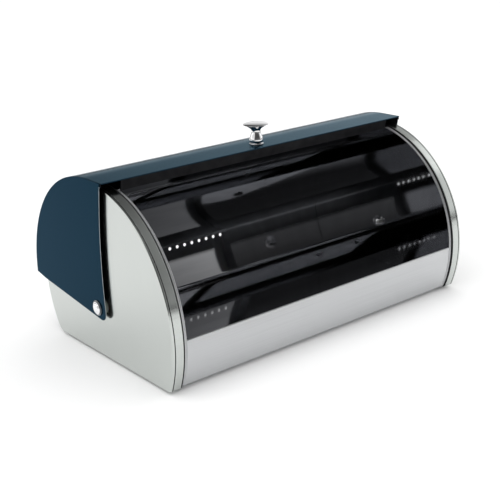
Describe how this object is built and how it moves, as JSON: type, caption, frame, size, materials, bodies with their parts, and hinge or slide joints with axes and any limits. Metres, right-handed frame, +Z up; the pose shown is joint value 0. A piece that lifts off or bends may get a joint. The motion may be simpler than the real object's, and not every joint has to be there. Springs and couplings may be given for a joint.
{
  "type": "bread bin",
  "caption": "Roll-top bread bin with steel end panels, an open front mouth and a curved blue lid that rolls back over the top.",
  "frame": {"origin": "centre of the bin's footprint, on the surface that it stands on", "axes": "+X along the bin's length to its right, seen from the front; +Y to the rear; +Z up"},
  "size_m": [0.4066, 0.2602, 0.2137],
  "materials": {
    "satin_steel": "satin stainless steel, fine matt grain",
    "brushed_steel": "brushed stainless steel, grain along the bin",
    "mirror_steel": "bright polished stainless steel",
    "blue_paint": "dark petrol blue metallic paint, semi gloss",
    "chrome": "bright chrome plate",
    "black_rubber": "black rubber, matt",
    "dark_steel": "zinc plated steel, dulled",
    "white_nylon": "natural nylon"
  },
  "bodies": {
    "body": {"left_end_panel": "satin_steel", "left_edge_seal": "black_rubber", "left_mouth_rail": "brushed_steel", "left_pivot_bolt": "chrome", "left_pivot_washer": "dark_steel", "left_pivot_bush": "white_nylon", "left_inner_washer": "chrome", "left_dome_nut": "chrome", "right_end_panel": "satin_steel", "right_edge_seal": "black_rubber", "right_mouth_rail": "brushed_steel", "right_pivot_bolt": "chrome", "right_pivot_washer": "dark_steel", "right_pivot_bush": "white_nylon", "right_inner_washer": "chrome", "right_dome_nut": "chrome", "front_strip": "brushed_steel", "back_panel": "mirror_steel", "floor_panel": "mirror_steel", "left_front_foot": "black_rubber", "left_front_foot_rivet": "dark_steel", "left_rear_foot": "black_rubber", "left_rear_foot_rivet": "dark_steel", "right_front_foot": "black_rubber", "right_front_foot_rivet": "dark_steel", "right_rear_foot": "black_rubber", "right_rear_foot_rivet": "dark_steel"},
    "lid": {"lid_shell": "blue_paint", "left_lid_cheek": "blue_paint", "right_lid_cheek": "blue_paint", "knob": "chrome", "knob_rosette": "chrome", "knob_washer": "dark_steel", "knob_screw": "dark_steel"}
  },
  "joints": [
    {"name": "lid_hinge", "type": "hinge", "parent": "body", "child": "lid", "pos_m": [0, -0.00279, 0.0582], "axis": [1, 0, 0], "range_deg": [0, 77.5]}
  ]
}
